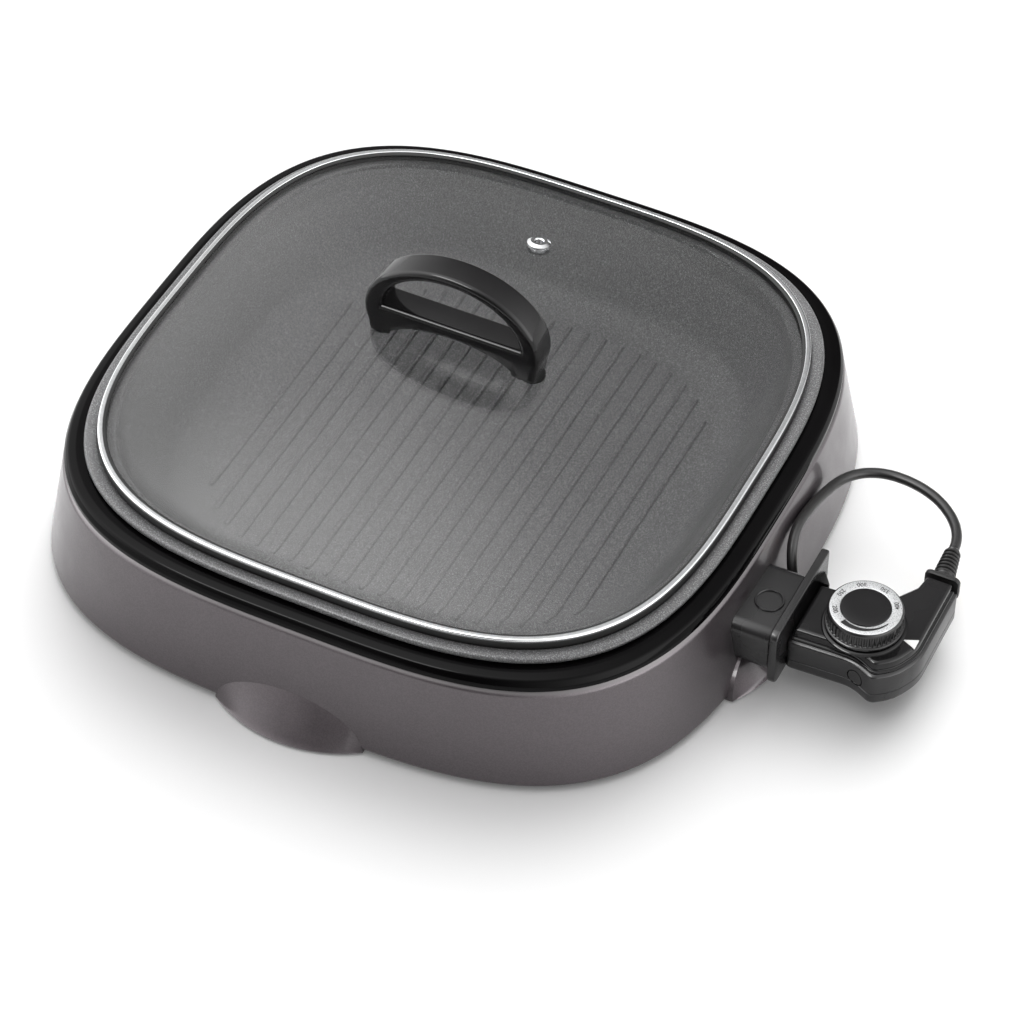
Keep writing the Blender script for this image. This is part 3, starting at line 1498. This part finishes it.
@dataclass
class HeatControl:
    """Plug-in control: two shells, guard plate, ribbed dial with a numbered ring."""

    shop: Workshop
    # the body and its guard plate, in mm
    body_at: Point2 = (191.5, -32.0)
    low: float = 12.0
    high: float = 37.0
    step: float = 30.5
    step_in: float = 2.4
    seam: float = 6.2
    guard_x: Point2 = (187.5, 191.5)
    guard_half: Point2 = (30.5, 16.5)
    # the dial: grip, ring and cap
    dial_at: Point2 = (221.0, -30.5)
    dial_z: float = 38.6
    dial_r: float = 17.5
    dial_high: float = 9.6
    grooves: int = 48
    groove_deep: float = 0.62
    groove_half: float = 0.72
    deep_rings: tuple[int, int] = (7, 8)
    ring_r: Point2 = (11.72, 16.55)
    cap_r: float = 11.58
    # the bare round mark on the near side, and what is printed on the ring
    badge_at: Point2 = (225.3, -49.35)
    badge_turn: float = -18.5
    badge_r: float = 4.4
    badge_deep: float = 1.1
    badge_line: float = 0.55
    number_r: float = 14.1
    number_high: float = 3.0
    arc_r: float = 13.6
    arc_sweep: Point2 = (-20.0, -118.0)
    arc_half: Point2 = (0.25, 1.35)
    # outline of the body from above, and the radius of each of its corners
    plan: tuple[Point2, ...] = (
        (0, -17.5), (31.5, -16), (43, -21.5), (52.5, -14), (58.6, -1), (58.4, 45), (42, 45),
        (40.3, 35), (34, 25.5), (12, 19), (0, 18))
    corner: tuple[float, ...] = (1.5, 20, 5, 24, 26, 1.5, 1.5, 5, 6, 8, 1.5)
    # what the dial says, and at how many degrees
    numbers: tuple[tuple[str, float], ...] = (
        ("200", -150.0), ("250", -195.0), ("300", -240.0), ("350", -285.0), ("400", -330.0))

    def ring_at(self, by: float, z: float) -> np.ndarray:
        """Draws the plan, moved inward with its corners rounded anew.

        Args:
            by: how far it moves inward.
            z: its height.

        Returns:
            Its ring of points.
        """
        corners = inset(np.array(self.plan, float), by)
        radii = [max(0.6, r - by) if r > 7 else max(0.6, r - 0.4 * by) for r in self.corner]
        flat = np.array(eased(corners, radii, 12))
        return at_height(flat + self.body_at, z)

    def shells(self) -> None:
        """Lower and upper shell, with a step and soft edges between them."""
        low, step, top = self.low, self.step, self.high
        seam = low + self.seam
        levels = [(2.4, low), (1.4, low), (0.9, low + 0.25), (0.6, low + 0.9), (0.2, low + 1.4),
                  (0, low + 2), (0, seam), (0.3, seam + 0.15), (0.3, seam + 0.4),
                  (0, seam + 0.55), (0, step - 1.5), (0.12, step - 1.15), (0.4, step - 0.85),
                  (1.3, step - 0.2), (1.7, step - 0.05), (2.0, step)]
        lower = Shape().stack([self.ring_at(*level) for level in levels]).mesh("lower")
        spot = (Matrix.Translation((*self.badge_at, low + 10))
                @ turn_about("Z", self.badge_turn) @ turn_about("X", 90))
        inner, outer, deep = self.badge_r - self.badge_line, self.badge_r, self.badge_deep
        groove = Shape().turned([(inner, -deep), (outer, -deep), (outer, 3), (inner, 3)], spot,
                                closed=True, count=64)
        self.shop.piece("control_lower_shell", cut(lower, groove.mesh("groove")),
                        Slot.BLACK_PLASTIC, Body.CONTROL, ("control_bottom",), 28.0)
        s = self.step_in
        levels = [(2.0, step + 0.02), (1.5, step + 0.2), (1.3, step + 0.5), (1.3, step + 0.9),
                  (1.5, step + 1.3), (1.8, step + 1.5), (s - 0.25, step + 1.55),
                  (s, step + 1.8), (s, top - 1.2), (s + 0.1, top - 0.9), (s + 0.35, top - 0.6),
                  (s + 1.0, top - 0.12), (s + 1.4, top), (s + 2.0, top)]
        upper = Shape().stack([self.ring_at(*level) for level in levels])
        r = self.dial_r
        upper.turned([(r + 2.3, top - 0.1), (r + 2.1, top + 0.5), (r + 1.6, top + 0.9),
                      (r + 1.1, top + 1.1), (r + 0.5, top + 1.15)],
                     Matrix.Translation((*self.dial_at, 0)), count=128)
        self.shop.piece("control_upper_shell", upper, Slot.GLOSS_BLACK, Body.CONTROL,
                        ("control_top",), 28.0)

    def guard(self) -> None:
        """The upright plate between the hand and the pan, with its brace."""
        x0, x1 = self.guard_x
        (w, h), y = self.guard_half, self.body_at[1]
        z = self.low + h
        flat = np.array(eased([(-w, -h), (w, -h), (w, h), (-w, h)], [5, 5, 1.2, 5], 9))
        place = Matrix.Translation((0, y, z)) @ ALONG_X
        shape = Shape().lofted(flat, [(1.2, x0), (0.5, x0 + 0.12), (0.12, x0 + 0.5), (0, x0 + 1.2),
                                      (0, x1 - 1.2), (0.12, x1 - 0.5), (0.5, x1 - 0.12),
                                      (1.2, x1)], place)
        brace = np.array(eased([(-0.5, 0), (5.4, 0), (-0.5, 8.2)], 0.3, 3))
        shape.lofted(brace, [(0.3, self.high - 14), (0, self.high - 13.7), (0, self.high - 2.3),
                             (0.3, self.high - 2)],
                     Matrix.Translation((x1, y + 18.9, 0)))
        self.shop.piece("guard_shell", shape, Slot.BLACK_PLASTIC, Body.CONTROL,
                        ("guard_plate",))

    def groove(self, angles: np.ndarray, ring: int) -> np.ndarray:
        """Works out the depth of the grip's grooves round one ring.

        Args:
            angles: the ring's angles.
            ring: its number, from the bottom of the grip.

        Returns:
            The depth at each angle, in mm.
        """
        if ring not in self.deep_rings:
            return np.zeros_like(angles)
        step = 2 * np.pi / self.grooves
        off = (np.mod(angles + step / 2, step) - step / 2) * self.dial_r
        return self.groove_deep * np.sqrt(np.clip(1 - (off / self.groove_half) ** 2, 0, 1))

    def dial(self) -> None:
        """Ribbed grip, silver ring with plain numbers, and a bare glossy cap."""
        x, y = self.dial_at
        z, r, h = self.dial_z, self.dial_r, self.dial_high
        grip: list[Point2] = [(3.1, z), (r + 0.3, z), (r + 0.7, z + 0.4), (r + 0.7, z + 1.1),
                              (r + 0.3, z + 1.5), (r, z + 1.6), (r, z + 1.9), (r, z + 2.2),
                              (r, z + h - 1.9), (r, z + h - 1.5), (r - 0.1, z + h - 0.9),
                              (r - 0.4, z + h - 0.3), (r - 0.75, z + h),
                              (r - 0.85, z + h - 0.1), (r - 0.9, z + h - 0.8),
                              (3.1, z + h - 0.8)]
        stand = Matrix.Translation((x, y, 0))
        self.shop.piece("dial_knob", Shape().turned(grip, stand, count=self.grooves * 14,
                                                    wave=self.groove),
                        Slot.BLACK_PLASTIC, Body.DIAL, ("dial_grip",), 35.0)
        top, (inner, outer), cap_r = z + h + 0.22, self.ring_r, self.cap_r
        ring = eased([(inner, top - 1), (outer, top - 1), (outer, top), (inner, top)],
                     [0.1, 0.1, 0.3, 0.2], 4)
        self.shop.piece("dial_ring", Shape().turned(ring, stand, closed=True, count=160),
                        Slot.SILVER_PRINT, Body.DIAL, ("dial_scale",))
        cap: list[Point2] = [(cap_r - 0.28, z + h - 0.78), (cap_r, z + h - 0.5),
                             (cap_r, top + 0.1), (cap_r - 0.18, top + 0.3),
                             (cap_r - 0.78, top + 0.42), (6.0, top + 0.5), (0.3, top + 0.52)]
        self.shop.piece("dial_centre", Shape().turned(cap, stand, count=128), Slot.GLOSS_BLACK,
                        Body.DIAL, ("dial_cap",))
        self.scale_marks(top)

    def number(self, text: str, degrees: float, z: float) -> bpy.types.Mesh:
        """Prints one number, its foot toward the dial's middle.

        Args:
            text: the number.
            degrees: where it stands round the dial.
            z: its height.

        Returns:
            Its mesh.
        """
        data = bpy.data.curves.new("number", "FONT")
        data.body, data.size = text, self.number_high * MM
        data.align_x, data.align_y = "CENTER", "CENTER"
        data.extrude, data.offset = 0.03 * MM, 0.03 * MM
        made = settled(placed("number", data))
        (x, y), a = self.dial_at, math.radians(degrees)
        made.transform(Matrix.Translation(((x + self.number_r * math.cos(a)) * MM,
                                           (y + self.number_r * math.sin(a)) * MM, z * MM))
                       @ turn_about("Z", degrees + 90))
        return made

    def scale_marks(self, top: float) -> None:
        """Plain numbers and a tapering arc, printed on the dial's ring.

        Args:
            top: height of the ring's upper face.
        """
        parts = [self.number(text, degrees, top + 0.02) for text, degrees in self.numbers]
        (x, y), count, shape = self.dial_at, 50, Shape()
        sweep = np.radians(np.linspace(*self.arc_sweep, count))
        for level in (top - 0.02, top + 0.05):
            for wide, a in zip(np.linspace(*self.arc_half, count), sweep):
                for reach in (self.arc_r - wide, self.arc_r + wide):
                    shape.points.append((x + reach * math.cos(a), y + reach * math.sin(a), level))
        up = 2 * count
        for i in range(0, up - 2, 2):
            shape.faces += [(i, i + 1, i + 3, i + 2), (i + up, i + up + 2, i + up + 3, i + up + 1),
                            (i, i + 2, i + up + 2, i + up), (i + 1, i + up + 1, i + up + 3, i + 3)]
        shape.faces += [(i, i + up, i + up + 1, i + 1) for i in (0, up - 2)]
        self.shop.piece("dial_numbers", joined("dial_numbers", [*parts, shape.mesh("arc")]),
                        Slot.BLACK_PLASTIC, Body.DIAL)

    def build(self) -> None:
        """Builds the control."""
        self.shells()
        self.guard()
        self.dial()


def main() -> None:
    """Builds camera, cord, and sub-assemblies and light."""
    logging.basicConfig(level=logging.INFO, format="%(message)s")
    shop = Workshop(FinishKit())
    studio = Studio()
    studio.camera()
    SupplyCord(shop).build()
    HeatedBase(shop).build()
    CookingPan(shop).build()
    GlassLid(shop).build()
    HeatControl(shop).build()
    shop.finishes.dress_kept(shop.hidden)
    studio.build()
    LOG.info("%d pieces", shop.count)


if __name__ == "__main__":
    main()
